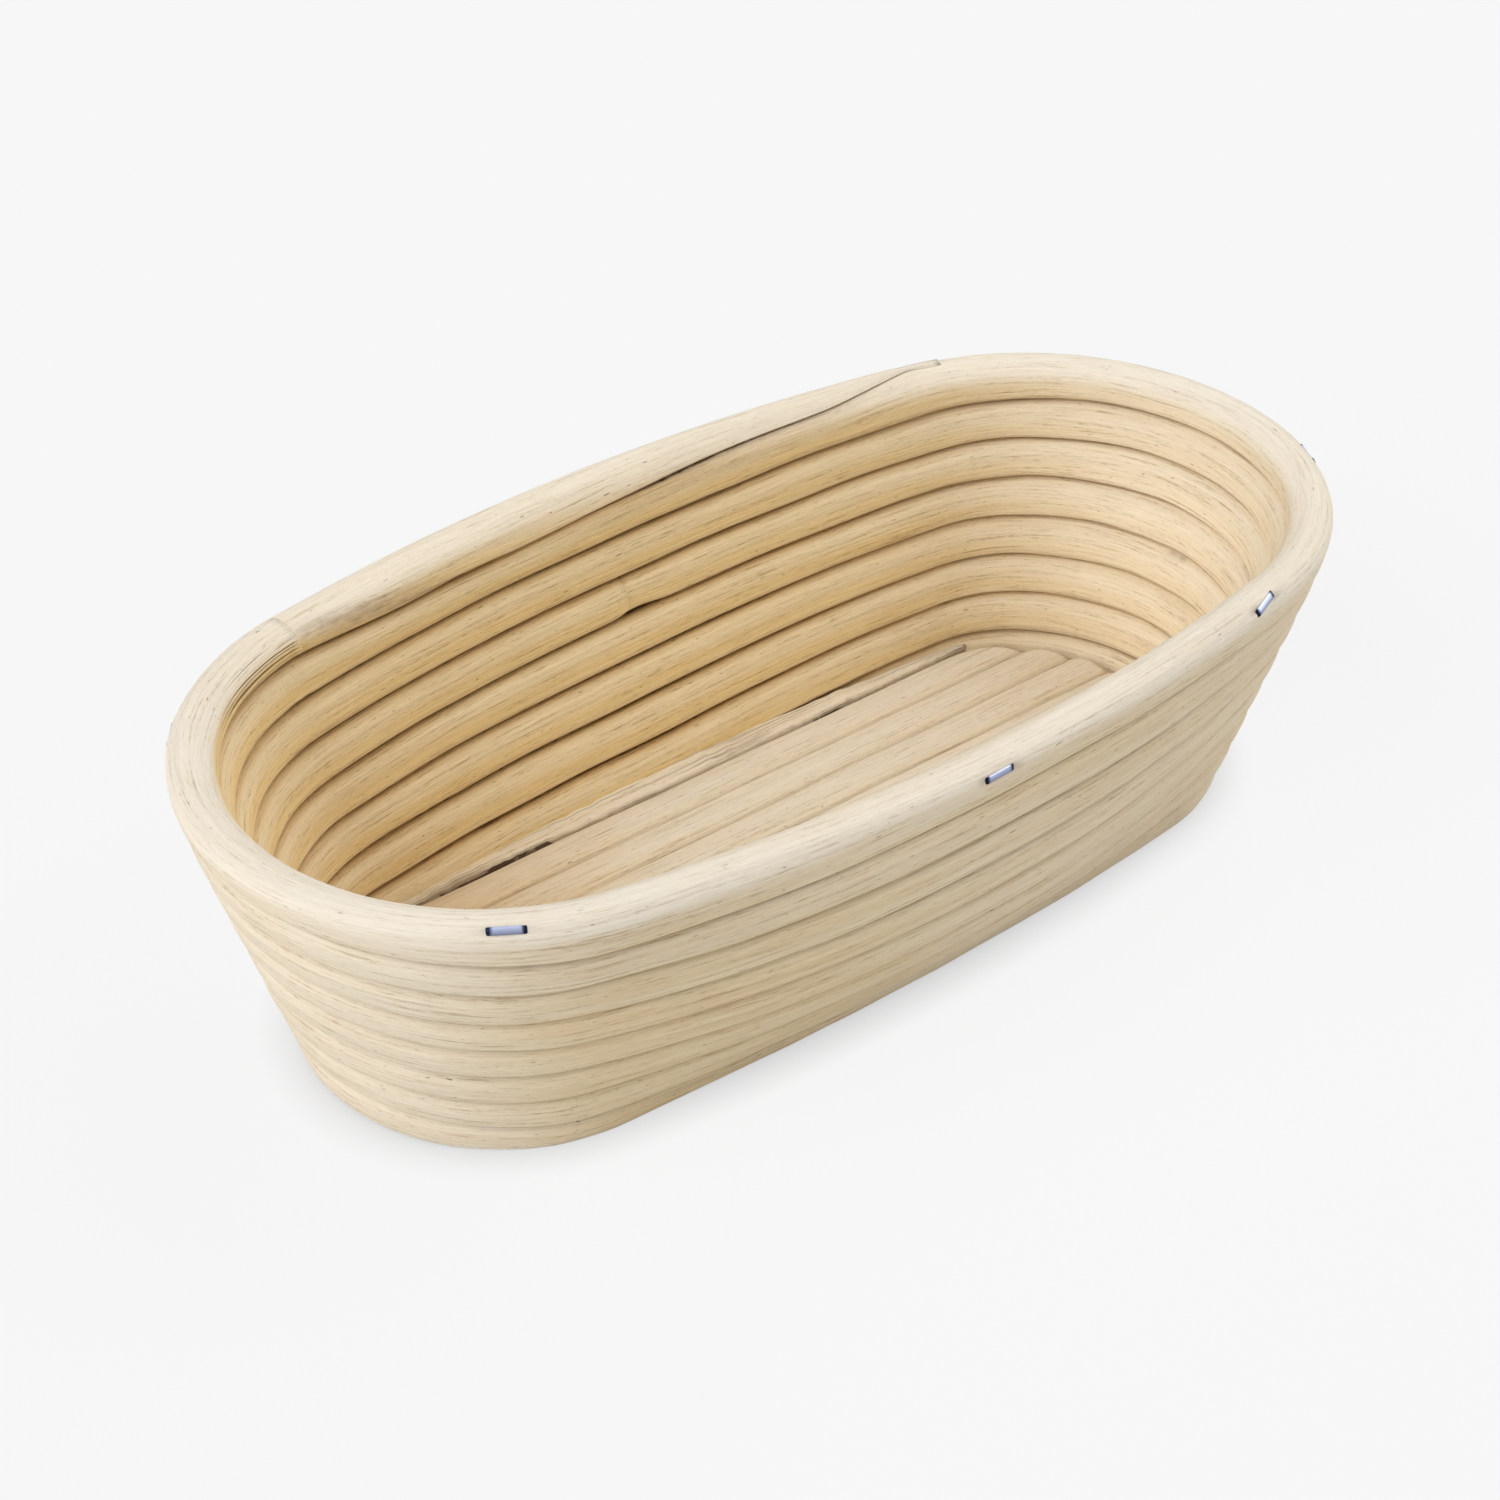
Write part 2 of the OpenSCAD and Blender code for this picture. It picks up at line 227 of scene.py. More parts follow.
class Winding:
    """The wound cane: heights and sections along its turns, in millimetres.

    A share of a turn runs along the far side up to 0.25, the right end, the near side and the left end.
    """

    # the climb along the far side: where it starts and ends, and its part of the turn's rise
    STEP_FROM, STEP_TO, STEP_SHARE = 0.10, 0.30, 0.60
    # sag of the turns towards the left of the near side, as a part of the rise
    DIP = 0.33
    # how far the joints at the right end shift at the foot and higher up, and that height
    SPREAD_LOW, SPREAD_HIGH, SPREAD_HEIGHT = -1.6, 0.8, 68
    # turn at which the lower cane meets the upper one, and the opening of the nick under it
    SPLICE, NICK = 5.125, 0.8
    # the closing cane: share of a turn at which it ends, sag of its start, opening of its crack
    STRIP_END, STRIP_SAG, CRACK = 0.262, 2.3, 0.45
    # powers of the section's flanks: 2 is round, more is squarer
    OUTER_UPPER, OUTER_LOWER, FOOT_LOWER = 2.25, 4.8, 3.2
    INNER_UPPER, INNER_LOWER, RIM_ROUND = 2.2, 5.5, 2.05
    # power that squares the edges of the planed joint
    JOINT_SQUARE = 0.16
    # extra half width of the rim, and least half height of a thin end
    RIM_SWELL, LEAST_HALF = 0.35, 0.08
    # radius that the flutes and chips are cut from; number and depth of the flutes
    CUT_RADIUS = 5
    FLUTES = ((5, 0.030), (8, 0.022), (13, 0.014))

    def __init__(self):
        s = sizes()
        self.oval = Oval()
        self.turns = s.wall_turns
        self.width = s.cane_width / MM
        lean = math.atan((self.oval.rim_radius - self.oval.foot_radius) / self.oval.rim_z)
        self.rise = (s.cane_height + s.turn_gap) / MM * math.cos(lean)
        self.start = s.start_thickness / MM - s.cane_height / MM / 2
        self.top = s.rim_top / MM
        self.gap = s.groove_gap / MM

    def climb(self, share):
        """Part of a turn's rise that is climbed by a share of the turn."""
        return mix(share, smooth(self.STEP_FROM, self.STEP_TO, share), self.STEP_SHARE)

    def edge(self, t):
        """Height of the joint under the winding at turn t, on the middle of the wall."""
        share = t - np.floor(t)
        dip = self.DIP * hump(share, 0.60, 0.72, 0.755, 0.85)
        height = self.start + self.rise * (np.floor(t) + self.climb(share) - dip - 0.5)
        raised = np.clip(height / self.SPREAD_HEIGHT, 0, 1)
        spread = mix(self.SPREAD_LOW, self.SPREAD_HIGH, raised) * hump(share, 0.25, 0.34, 0.42, 0.52)
        return height + spread + ripple(t, 11, ((2, 6), (8, 18)), 0.11)

    def rows(self, t):
        """Lower and upper joint of the row at turn t, and the state of its rim.

        The state is how free its top is, how flush it lies with the cane over or under it,
        and how shut the joint between those two is.
        """
        strip = t >= self.turns
        last = t >= self.turns - 1
        share = np.where(strip, t - self.turns, t - self.turns + 1)
        feather = smooth(self.STRIP_END - 0.05, self.STRIP_END, share)
        crack = hump(share, 0.09, 0.16, 0.247, 0.258)
        sag = self.STRIP_SAG * hump(share, -0.01, 0.05, 0.08, 0.17)
        nick = self.NICK * hump(t - self.SPLICE, -0.006, 0.001, 0.004, 0.018)
        low = self.edge(t) - np.where(strip, sag, 0) + nick
        low = np.where(t < 1, mix(np.minimum(low, -0.3), low, smooth(0.93, 1, t)), low)
        low = np.where(strip, mix(low, self.top - 0.3, feather) + self.CRACK * crack, low)
        above = self.edge(t + 1) - np.where(last, sag, 0)
        high = np.minimum(mix(above, self.top, np.where(last, feather, 0)), self.top)
        high = np.where(strip, self.top, high)
        tip = smooth(self.STRIP_END - 0.03, self.STRIP_END + 0.01, share)
        free = np.where(strip, 1, np.where(last, tip, 0))
        flush = np.where(last, smooth(0.03, 0.16, share), 0)
        shut = np.where(last & (share < self.STRIP_END), 1 - crack, 0)
        return low, high, free, flush, shut

    def surface(self, t, theta, chips=()):
        """Points and tones of the cane's skin at turn values t, one row of them for each ring.

        theta runs round the section from its underside over the outside, the top and the inside.
        """
        share = t - np.floor(t)
        low, high, free, flush, shut = self.rows(t)
        strip = t >= self.turns
        middle = (low + high) / 2
        lean = self.oval.slope(share, middle)
        wobble = 1 + ripple(t, 23, ((3, 9), (15, 40)), 0.010)
        half_w = (self.width / 2 + self.RIM_SWELL * np.maximum(free, flush)) * wobble
        half_h = np.maximum((high - low) / 2 / np.cos(lean) - self.gap / 2, self.LEAST_HALF)
        cos, sin = np.cos(theta)[None, :], np.sin(theta)[None, :]
        upper = sin > 0
        crowned = np.where(upper, free, 0)
        outer_lower = mix(self.OUTER_LOWER, self.FOOT_LOWER, 1 - smooth(0.9, 1, t))
        outer = np.where(upper, self.OUTER_UPPER, outer_lower)
        inner = np.where(upper, self.INNER_UPPER, self.INNER_LOWER)
        power = mix(np.where(cos > 0, outer, inner), self.RIM_ROUND, crowned)
        across = half_w * np.sign(cos) * np.abs(cos) ** (2 / power)
        along = half_h * np.sign(sin) * np.abs(sin) ** (2 / power)

        # on the far rim the last turn and the closing cane are planed to one round section
        body_low = np.where(strip, self.edge(t - 1), low)
        body_half = (self.top - body_low) / 2 / np.cos(lean)
        body_along = (along + (middle - (body_low + self.top) / 2) / np.cos(lean)) / body_half
        body_power = np.where(body_along > 0, self.RIM_ROUND, power)
        round_width = half_w * np.clip(1 - np.abs(body_along) ** body_power, 0, 1) ** (1 / body_power)
        joint_side = np.where(strip, ~upper, upper & (free < 1))
        squared = np.where(joint_side, np.abs(cos) ** self.JOINT_SQUARE, 1) * np.sign(cos)
        across = mix(across, round_width * squared, flush)
        chip = self.chipping(t, theta, chips)
        shrink = 1 - (chip * 0.9 + self.fluting(t, theta)) / self.CUT_RADIUS
        across, along = across * shrink, along * shrink

        # the section leans with the wall, but the rim's top stays level
        level = mix(free * smooth(-1, 1, along / half_h), smooth(-1, 1, body_along), flush)
        out = across * np.cos(lean) + along * np.sin(lean)
        up = along * np.cos(lean) - across * np.sin(lean) * (1 - level)
        base, normal = self.oval.point(share, middle, np.full_like(t, self.width / 2))
        # the outside stays within the rim's outline
        crest = np.minimum(self.start + self.rise * (self.turns - 1 + self.climb(share)), self.oval.rim_z)
        rim, _ = self.oval.point(share, np.where(strip, self.oval.rim_z, crest), 0)
        room = ((rim - base) * normal).sum(-1) - self.width / 2 * (1 - np.cos(lean))
        out = np.where(out > 0, out * np.minimum(1, room / out.max(axis=1, keepdims=True)), out)
        inward = -across / half_w
        z = np.clip(middle + up, 0.3 * smooth(-0.2, 0.2, inward), self.top)
        points = np.concatenate([base + normal * out[..., None], z[..., None]], -1)

        height = along / half_h
        sanded = np.maximum(free * smooth(-0.2, 0.6, height), flush * smooth(-0.2, 0.6, body_along))
        # dust and painted shade gather in the grooves, but little in the rim's closed joint and at thin ends
        groove_dust_and_shade = (1 - crowned) * np.where(joint_side, 1 - 0.8 * shut * flush, 1) * smooth(0.3, 3.5, half_h)
        return points, self.tones(t, theta, middle, height, inward, sanded, groove_dust_and_shade, chip)

    def tones(self, t, theta, middle, height, inward, sanded, groove_dust_and_shade, chip):
        """How near a groove with its dust and painted shade, how far inside, how sanded, how chipped, how
        split, how scuffed, how golden in painted shade and how pale in painted light the skin is.
        """
        share = t - np.floor(t)
        past_seam = t - self.turns
        outer, upper = np.cos(theta)[None, :] > 0, np.sin(theta)[None, :] > 0
        degrees = np.degrees(theta)[None, :]
        inside = smooth(-0.5, 0.5, inward)
        outside = 1 - inside
        far_end = hump(share, 0.13, 0.35, 0.5, 0.7)
        near_end = hump(share, 0.68, 0.77, 0.92, 1.0)
        front_low = hump(share, 0.61, 0.70, 0.77, 0.82) * (1 - smooth(40, 62, middle))
        # dust and painted shade near the grooves, less on the inside of the right end, where the lamps fall
        above = np.where(outer, (height - 0.75) / 0.25, (height - 0.5) / 0.5)
        below = np.where(outer, (-height - 0.62) / 0.38, (-height - 0.9) / 0.1) * (t >= 1)
        near = np.clip(np.where(upper, above, below), 0, 1) * groove_dust_and_shade * (1 - 0.75 * far_end * inside)
        # painted shade: the lower half of each turn inside and its lower edge outside are tinted golden as
        # their warm shade, and the low front corner is golden too
        gold_and_shade = inside * bell(height, -0.45, 0.3) * (1 - 0.35 * far_end) * (1 - sanded)
        gold_and_shade = gold_and_shade + outside * np.maximum(0.42 * front_low, 0.6 * bell(height, -0.8, 0.22))
        # painted light: the inside of the right end, the outside of the left end and the rim over that,
        # which face the lamps, are painted paler
        pale = inside * smooth(0.20, 0.36, share) * far_end * mix(0.25, 0.5, smooth(5, 50, middle))
        pale = pale + np.maximum(0.55 * outside * smooth(0.74, 0.81, share), 0.6 * sanded) * near_end
        # fine splits run up to the rim's seam, and a scuffed patch starts there
        split_end = 0.025 * smooth(185, 205, degrees)
        split = hump(past_seam, -0.075, -0.03, split_end - 0.004, split_end)
        split = split * hump(degrees, 130, 155, 220, 240)
        scuffed = hump(past_seam, -0.002, 0.004, 0.055, 0.09) * bell(degrees, 155 + 1150 * past_seam, 26)
        tones = (near, inside * (1 - 0.7 * far_end), sanded, np.clip(chip, 0, 1), split, scuffed, gold_and_shade, pale)
        return np.stack([np.broadcast_to(tone, height.shape) for tone in tones], -1)

    def fluting(self, t, theta):
        """Depth of the flutes round the section, which wander along the cane."""
        return sum(
            depth * np.sin(count * theta[None, :] + ripple(t, 30 + count, ((0.5, 2), (3, 6)), 1.6))
            for count, depth in self.FLUTES
        )

    def chipping(self, t, theta, chips):
        """Depth of chips: each has a turn, an angle, a length in turns, a width in radians and a depth."""
        field = np.zeros(t.shape)
        for turn, angle, long, wide, deep in chips:
            near = np.where(np.abs(t[:, 0] - turn) < long * 1.6 + 0.01)[0]
            along = np.exp(-(((t[near] - turn) / long) ** 4))
            turned = (theta - angle + math.pi) % TURN - math.pi
            ragged = 0.65 + 0.35 * np.sin(t[near] * 4100 + turn * 77)
            field[near] = np.maximum(field[near], deep * along * bell(turned, 0, wide)[None, :] * ragged)
        return field


def mesh_object(name, bm):
    """Ends a bmesh and links it to the scene as an object."""
    mesh = bpy.data.meshes.new(name)
    bm.to_mesh(mesh)
    bm.free()
    made = bpy.data.objects.new(name, mesh)
    bpy.context.scene.collection.objects.link(made)
    return made


def sheet_mesh(name, points, uv, tones):
    """A grid of points as a mesh object: columns round the section, rows along the piece, ends capped."""
    rows, columns = points.shape[:2]
    bm = bmesh.new()
    bmesh.ops.create_grid(bm, x_segments=rows - 1, y_segments=columns - 1, size=1)
    uv_layer = bm.loops.layers.uv.new("CaneUV")
    tone_layer = bm.verts.layers.float_color.new("tone")
    wear_layer = bm.verts.layers.float_color.new("wear")
    index = {}
    for v in bm.verts:
        index[v] = (round((v.co.x + 1) / 2 * (rows - 1)), round((v.co.y + 1) / 2 * (columns - 1)))
    for face in bm.faces:
        for loop in face.loops:
            loop[uv_layer].uv = uv[index[loop.vert]]
    for v, place in index.items():
        v.co = points[place] * MM
        v[tone_layer], v[wear_layer] = tones[place][:4], tones[place][4:]
    bmesh.ops.remove_doubles(bm, verts=bm.verts, dist=2e-6)
    bmesh.ops.holes_fill(bm, edges=[e for e in bm.edges if e.is_boundary], sides=0)
    bmesh.ops.recalc_face_normals(bm, faces=bm.faces)
    piece = mesh_object(name, bm)
    for polygon in piece.data.polygons:
        polygon.use_smooth = len(polygon.vertices) == 4
    return piece


def arc_lengths(points):
    """Length run along the rows and round the columns of a grid of points, in millimetres."""
    along = np.r_[0, np.cumsum(np.linalg.norm(np.diff(points.mean(1), axis=0), axis=1))]
    around = np.r_[0, np.cumsum(np.linalg.norm(np.diff(points, axis=1), axis=2).mean(0))]
    return along, around


def dress(piece, material, slot, *nodes):
    """Gives a piece its material and its place in the frame."""
    piece.data.materials.append(material)
    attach(piece, "root")
    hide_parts(*nodes)


def add(tree, kind, links=None, values=None, stops=(), **settings):
    """Adds a node with its settings, socket values, links and colour stops."""
    node = tree.nodes.new(kind)
    for key, value in settings.items():
        setattr(node, key, value)
    for socket, value in (values or {}).items():
        node.inputs[socket].default_value = value
    for socket, source in (links or {}).items():
        tree.links.new(source, node.inputs[socket])
    for k, (place, shade) in enumerate(stops):
        band = node.color_ramp.elements
        element = band[k] if k < len(band) else band.new(place)
        element.position = place
        element.color = (*shade, 1) if isinstance(shade, tuple) else (shade, shade, shade, 1)
    return node


def new_material(name):
    """The material of that name, and its node tree if it is new."""
    material = bpy.data.materials.get(name)
    if material:
        return material, None
    material = bpy.data.materials.new(name)
    material.use_nodes = True
    material.node_tree.nodes.clear()
    return material, material.node_tree


# length and width of each pattern's streaks along the cane in millimetres, and its detail;
# real fibres are about 0.3 mm wide, too fine to show, so they are drawn half as wide again
CANE_STREAKS = {
    "bundles": (42, 0.85, 4),
    "fibres": (11, 0.45, 4),
    "specks": (2.4, 0.4, 2),
    "stains": (70, 4, 3),
    "pores": (2.4, 0.5, 1),
    "flecks": (5, 0.9, 1),
    "splits": (45, 0.75, 1),
    "crumbs": (2.5, 1.6, 3),
}
# where in its pattern a mark starts, and where and how strongly it is full
CANE_MARKS = {
    "stains": ((0.42, 0.0), (0.72, 0.6)),
    "pores": ((0.73, 0.0), (0.78, 0.6)),
    "flecks": ((0.78, 0.0), (0.81, 0.7)),
    "splits": ((0.55, 0.0), (0.61, 0.85)),
}
# shade of the fibres, from the dark ones to the plain skin, and how the dust and painted shade thicken in a
# groove
FIBRE_SHADES = ((0.37, (0.62, 0.52, 0.40)), (0.46, (0.92, 0.90, 0.86)), (0.56, (1.0, 1.0, 1.0)))
DUST_AND_SHADE_STOPS = ((0.55, 0.0), (0.80, 0.22), (0.97, 0.9))
# material name, warmth of the inside and paleness of the canes
WALL_CANE = ("peeled_rattan_core_wall", 0.55, 0.0)
FLOOR_CANE = ("peeled_rattan_core_floor", 0.6, 0.3)


def rattan(name, warm, pale):
    """Peeled rattan core, split and sanded but not sealed.

    The eye sees crisp straw-coloured fibres, slow honey stains, short dark pores, a golden lower half
    on the inside of each turn in painted shade, brown dust and painted shade in the grooves, painted light
    on the wall's ends that face the lamps, painted shadow on the floor's left part, and a dry, almost matt
    skin.
    """
    material, tree = new_material(name)
    if tree is None:
        return material
    c = colours()
    uv = add(tree, "ShaderNodeUVMap", uv_map="CaneUV").outputs["UV"]
    tone = add(tree, "ShaderNodeAttribute", attribute_name="tone", attribute_type="GEOMETRY")
    wear = add(tree, "ShaderNodeAttribute", attribute_name="wear", attribute_type="GEOMETRY")
    tones = add(tree, "ShaderNodeSeparateColor", {"Color": tone.outputs["Color"]}).outputs
    wears = add(tree, "ShaderNodeSeparateColor", {"Color": wear.outputs["Color"]}).outputs
    pattern = {}
    for kind, (long, wide, detail) in CANE_STREAKS.items():
        # the UV map is in centimetres
        place = add(tree, "ShaderNodeMapping", {"Vector": uv}, {"Scale": (10 / long, 10 / wide, 1)})
        pattern[kind] = add(
            tree, "ShaderNodeTexNoise", {"Vector": place.outputs["Vector"]},
            {"Scale": 1.0, "Detail": detail, "Roughness": 0.6},
        ).outputs["Fac"]
    mark = {}
    for kind, stops in CANE_MARKS.items():
        mark[kind] = add(tree, "ShaderNodeValToRGB", {"Fac": pattern[kind]}, stops=stops).outputs["Color"]

    # what the attributes and patterns say, multiplied by each other or a value, plus a value; the third is
    # painted shade on the inside shoulders beside the grooves
    part = {}
    for kind, links, values in (
        ("inner", {0: tones["Green"]}, {1: warm, 2: 0}),
        ("cream", {0: tones["Blue"]}, {1: 0.68, 2: pale}),
        ("shoulder_shade", {0: tones["Green"], 1: tones["Red"]}, {2: 0}),
        ("scuff", {0: wears["Green"], 1: pattern["crumbs"]}, {2: 0}),
        ("plain", {0: tones["Blue"]}, {1: -0.3, 2: 1}),
        ("split", {0: mark["splits"], 1: wears["Red"]}, {2: 0}),
        ("crumb", {0: pattern["crumbs"]}, {1: 0.62, 2: 0.69}),
    ):
        part[kind] = add(tree, "ShaderNodeMath", links, values, operation="MULTIPLY_ADD").outputs["Value"]
    scuff = add(tree, "ShaderNodeMath", {0: part["scuff"]}, {1: 1.1}, operation="MULTIPLY").outputs["Value"]
    # dust and painted shade in the grooves
    dust_and_shade = add(tree, "ShaderNodeMath", {0: part["crumb"], 1: tones["Red"]}, operation="MULTIPLY")
    dust_and_shade = add(tree, "ShaderNodeValToRGB", {"Fac": dust_and_shade.outputs["Value"]}, stops=DUST_AND_SHADE_STOPS).outputs["Color"]
    hole = mark["pores"]
    for other in (mark["flecks"], tone.outputs["Alpha"]):
        hole = add(tree, "ShaderNodeMath", {0: hole, 1: other}, operation="MAXIMUM").outputs["Value"]
    grain = pattern["bundles"]
    for kind, share in (("fibres", 0.5), ("specks", 0.22)):
        grain = add(
            tree, "ShaderNodeMix", {"A": grain, "B": pattern[kind]}, {"Factor": share}, data_type="FLOAT"
        ).outputs["Result"]

    # the base colour, from the places that the attributes name
    skin = add(
        tree, "ShaderNodeMix", {"Factor": mark["stains"]},
        {"A": (*c.cane_straw, 1), "B": (*c.cane_honey, 1)}, data_type="RGBA",
    ).outputs["Result"]
    # of these tints, lower gold and the groove tint are painted shade, and the pale is painted light
    for factor, tint, blend in (
        (part["inner"], c.inside_gold, "MIX"),
        (wears["Blue"], c.lower_gold_shade, "MULTIPLY"),
        (part["shoulder_shade"], c.groove_shade_tint, "MULTIPLY"),
        (wear.outputs["Alpha"], c.cane_lit_pale, "MIX"),
        (part["cream"], c.sanded_cream, "MIX"),
        (scuff, c.scuffed_grey, "MIX"),
    ):
        skin = add(
            tree, "ShaderNodeMix", {"Factor": factor, "A": skin}, {"B": (*tint, 1)},
            data_type="RGBA", blend_type=blend,
        ).outputs["Result"]

    # fibres darken it; dust with painted shade, and damage, cover it
    shade = add(tree, "ShaderNodeValToRGB", {"Fac": grain}, stops=FIBRE_SHADES).outputs["Color"]
    skin = add(
        tree, "ShaderNodeMix", {"Factor": part["plain"], "A": skin, "B": shade},
        data_type="RGBA", blend_type="MULTIPLY",
    ).outputs["Result"]
    for factor, tint in ((hole, c.pore_brown), (part["split"], c.groove_brown), (dust_and_shade, c.groove_brown)):
        skin = add(
            tree, "ShaderNodeMix", {"Factor": factor, "A": skin}, {"B": (*tint, 1)}, data_type="RGBA"
        ).outputs["Result"]

    height = grain
    for dent in (hole, part["split"]):
        height = add(tree, "ShaderNodeMath", {0: height, 1: dent}, operation="SUBTRACT").outputs["Value"]
    bump = add(
        tree, "ShaderNodeBump", {"Height": height}, {"Strength": 0.65, "Distance": 0.0008}
    ).outputs["Normal"]
    core = add(
        tree, "ShaderNodeBsdfPrincipled", {"Base Color": skin, "Normal": bump},
        {"Roughness": 0.64, "IOR": 1.46, "Specular IOR Level": 0.35},
    )
    add(tree, "ShaderNodeOutputMaterial", {"Surface": core.outputs["BSDF"]})
    return material


def staple_steel():
    """Galvanised steel wire, drawn flat: bluish grey and satin, darker where it dives into the cane, with
    painted shadow along its lower edge.
    """
    material, tree = new_material("galvanised_steel_wire")
    if tree is None:
        return material
    c = colours()
    place = add(tree, "ShaderNodeTexCoord").outputs["Object"]
    tone = add(tree, "ShaderNodeAttribute", attribute_name="tone", attribute_type="GEOMETRY")
    # darker towards the ends, and painted shadow along the lower edge
    dark_and_shadow = add(tree, "ShaderNodeSeparateColor", {"Color": tone.outputs["Color"]}).outputs["Red"]
    # zinc spangle about 1 mm across
    spangle = add(
        tree, "ShaderNodeTexNoise", {"Vector": place}, {"Scale": 900.0, "Detail": 3.0, "Roughness": 0.6}
    ).outputs["Fac"]
    rough = add(
        tree, "ShaderNodeMapRange", {"Value": spangle},
        {"From Min": 0.3, "From Max": 0.7, "To Min": 0.28, "To Max": 0.44},
    ).outputs["Result"]
    bump = add(
        tree, "ShaderNodeBump", {"Height": spangle}, {"Strength": 0.15, "Distance": 0.0001}
    ).outputs["Normal"]
    zinc = add(
        tree, "ShaderNodeMix", {"Factor": dark_and_shadow},
        {"A": (*c.steel, 1), "B": (*c.steel_dark, 1)}, data_type="RGBA",
    ).outputs["Result"]
    skin = add(
        tree, "ShaderNodeBsdfPrincipled", {"Base Color": zinc, "Roughness": rough, "Normal": bump},
        {"Metallic": 1.0},
    )
    add(tree, "ShaderNodeOutputMaterial", {"Surface": skin.outputs["BSDF"]})
    return material


SECTION_SIDES = 56
TURN_LENGTH = 620  # about the length of a turn in millimetres
RING_STEP = 2.2 / TURN_LENGTH  # turns between rings


def section_angles():
    return np.linspace(-math.pi / 2, 1.5 * math.pi, SECTION_SIDES + 1)


def cane_uv(along, around):
    """UV map of a grid of points, from centimetres along the cane and millimetres round it."""
    return np.stack(np.meshgrid(along, around / 10, indexing="ij"), -1)


def random_chips(seed, first, last, count):
    """Small chips along the edges of the grooves."""
    dice = np.random.RandomState(seed)
    chips = []
    for _ in range(count):
        turn, angle = dice.uniform(first, last), dice.uniform(0.95, 1.25)
        # most are on a lower edge, and all of those on the sanded rim
        if dice.uniform() < 0.7 or turn > sizes().wall_turns - 1:
            angle = -angle
        # more are inside than outside
        if dice.uniform() < 0.6:
            angle = math.pi - angle
        long = dice.uniform(1.5, 5) / TURN_LENGTH
        chips.append((turn, angle, long, dice.uniform(0.08, 0.2), dice.uniform(0.25, 0.8)))
    return chips


def wound_piece(name, first, last, chips, material, slot, node):
    """One length of the wound cane between two turn values."""
    theta = section_angles()
    rings = max(8, int(round((last - first) / RING_STEP)))
    t = np.linspace(first, last, rings)[:, None] + 0 * theta[None, :]
    points, tones = Winding().surface(t, theta, chips)
    _, around = arc_lengths(points)
    # the turn value sets the place along the pattern, so the fibres run on through the splice
    uv = cane_uv(t[:, 0] * TURN_LENGTH / 10, around)
    dress(sheet_mesh(name, points, uv, tones), material, slot, node)


class BASKET_OT_wall_canes(bpy.types.Operator):
    """Winds the lower and upper wall canes"""

    bl_idname = "basket.wall_canes"
    bl_label = "Wall Canes"

    def execute(self, context):
        turns = sizes().wall_turns
        splice = Winding.SPLICE
        cane, slot = rattan(*WALL_CANE), "rattan_wall"
        lower_chips = random_chips(3, 0.2, 5.1, 90)
        upper_chips = random_chips(5, 5.2, 7.95, 56)
        # the dents round the rim staples are cut, and painted dark for their shade
        upper_chips += [(turn, angle, *STAPLE_DENT_AND_SHADE) for turn, angle, _ in RIM_STAPLES if turn < turns]
        wound_piece("wound_cane_lower", 0, splice, lower_chips, cane, slot, "wall_cane_lower")
        wound_piece("wound_cane_upper", splice, turns, upper_chips, cane, slot, "wall_cane_upper")
        return {"FINISHED"}


class BASKET_OT_closing_strip(bpy.types.Operator):
    """Lays the planed end of the winding on the far rim"""

    bl_idname = "basket.closing_strip"
    bl_label = "Closing Strip"

    def execute(self, context):
        turns = sizes().wall_turns
        end = turns + Winding.STRIP_END
        cane = rattan(*WALL_CANE)
        # one torn place on the inside, by the open seam
        chips = [(turns + 0.07, math.pi + 1.15, 0.012, 0.3, 0.9)]
        wound_piece("rim_closing_cane", turns, end, chips, cane, "rattan_rim", "closing_strip")
        return {"FINISHED"}


SLATS = sorted(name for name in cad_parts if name.startswith("floor_slat_"))
# end of a floor cane with finer steps, and its rounded part, as shares of the half length
SLAT_END, SLAT_ROUND = 0.04, 0.035
# each floor cane and edge strip has its own stretch of the fibre pattern, in centimetres
SLAT_PATTERN, SLAT_PATTERN_STEP = 700, 40
STRIP_PATTERN, STRIP_PATTERN_STEP = 1100, 30
# painted shadow: the floor is painted darker and browner from its middle to its left end, where the left
# wall shades it; the length is in millimetres
WALL_SHADOW_LENGTH = 95
# ends of an edge strip along the floor, and the openings of the long wedge and the slit beside the back one
STRIP_FROM, STRIP_TO = -91, 93
WEDGE, SLIT = 0.5, 0.2


def slat_section():
    """Round of a floor cane's section, flat below and crowned above: shares of its half width and height."""
    s = sizes()
    shoulder = 1 - s.slat_crown / s.slat_height
    crown = np.linspace(1, -1, 25)[1:-1]
    flank, flank_z = np.ones(3), np.array([0.05, shoulder * 0.5, shoulder])
    y = np.r_[np.linspace(0, 1, 6)[:-1], flank, crown, -flank, np.linspace(-1, 0, 6)[1:]]
    top = shoulder + (1 - shoulder) * np.sqrt(np.clip(1 - crown ** 2 * 0.92, 0, 1))
    z = np.r_[np.zeros(5), flank_z, top, flank_z[::-1], np.zeros(5)]
    return y, z


